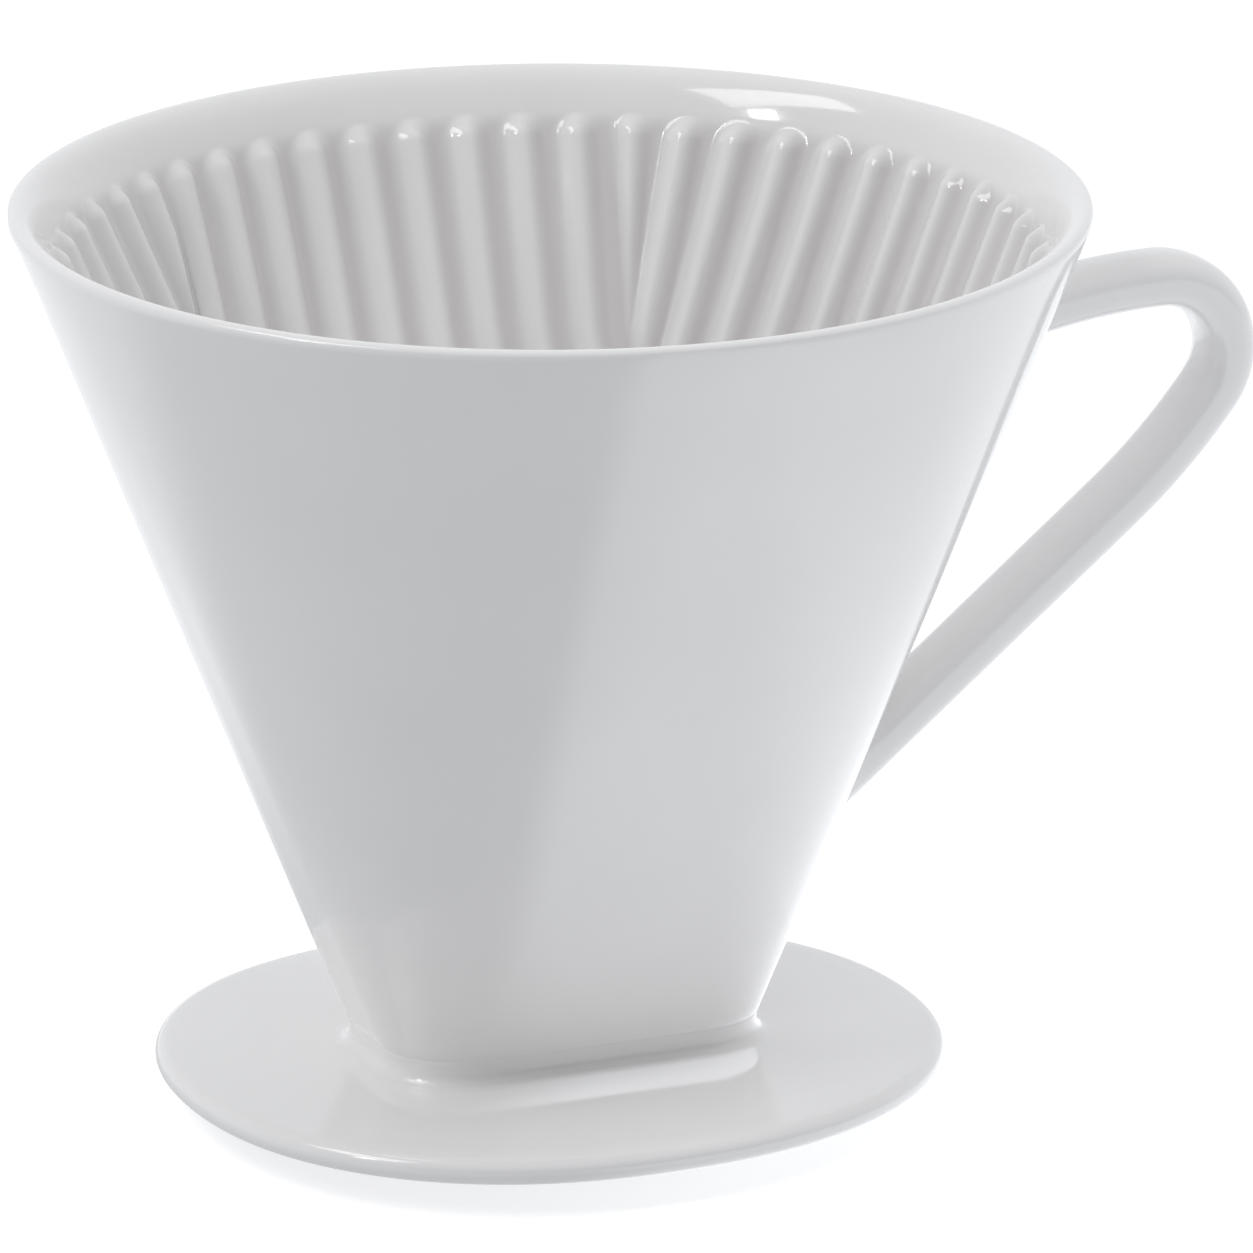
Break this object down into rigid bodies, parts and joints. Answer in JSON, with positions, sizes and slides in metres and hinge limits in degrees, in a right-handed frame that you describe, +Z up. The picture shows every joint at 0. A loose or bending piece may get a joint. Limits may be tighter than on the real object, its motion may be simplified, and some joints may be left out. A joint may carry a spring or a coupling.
{
  "type": "pour over dripper",
  "caption": "Glazed porcelain cone filter holder: round rim tapering to an oblong foot, inner drainage ribs, oval flange with centring ring, angular strap handle.",
  "frame": {"origin": "centre of the flange's underside, on the cone's axis, in the plane that rests on the cup", "axes": "+Z up along the cone's axis, +X towards the handle and along the oblong foot, +Y across the foot"},
  "size_m": [0.174, 0.144, 0.124],
  "materials": {
    "cone_glaze": "clear gloss glaze over white porcelain",
    "flange_glaze": "clear gloss glaze over white porcelain",
    "handle_glaze": "clear gloss glaze over white porcelain"
  },
  "bodies": {
    "root": {"filter_cone": "cone_glaze", "flow_ribs": "cone_glaze", "base_flange": "flange_glaze", "centring_collar": "flange_glaze", "handle": "handle_glaze"}
  },
  "joints": []
}
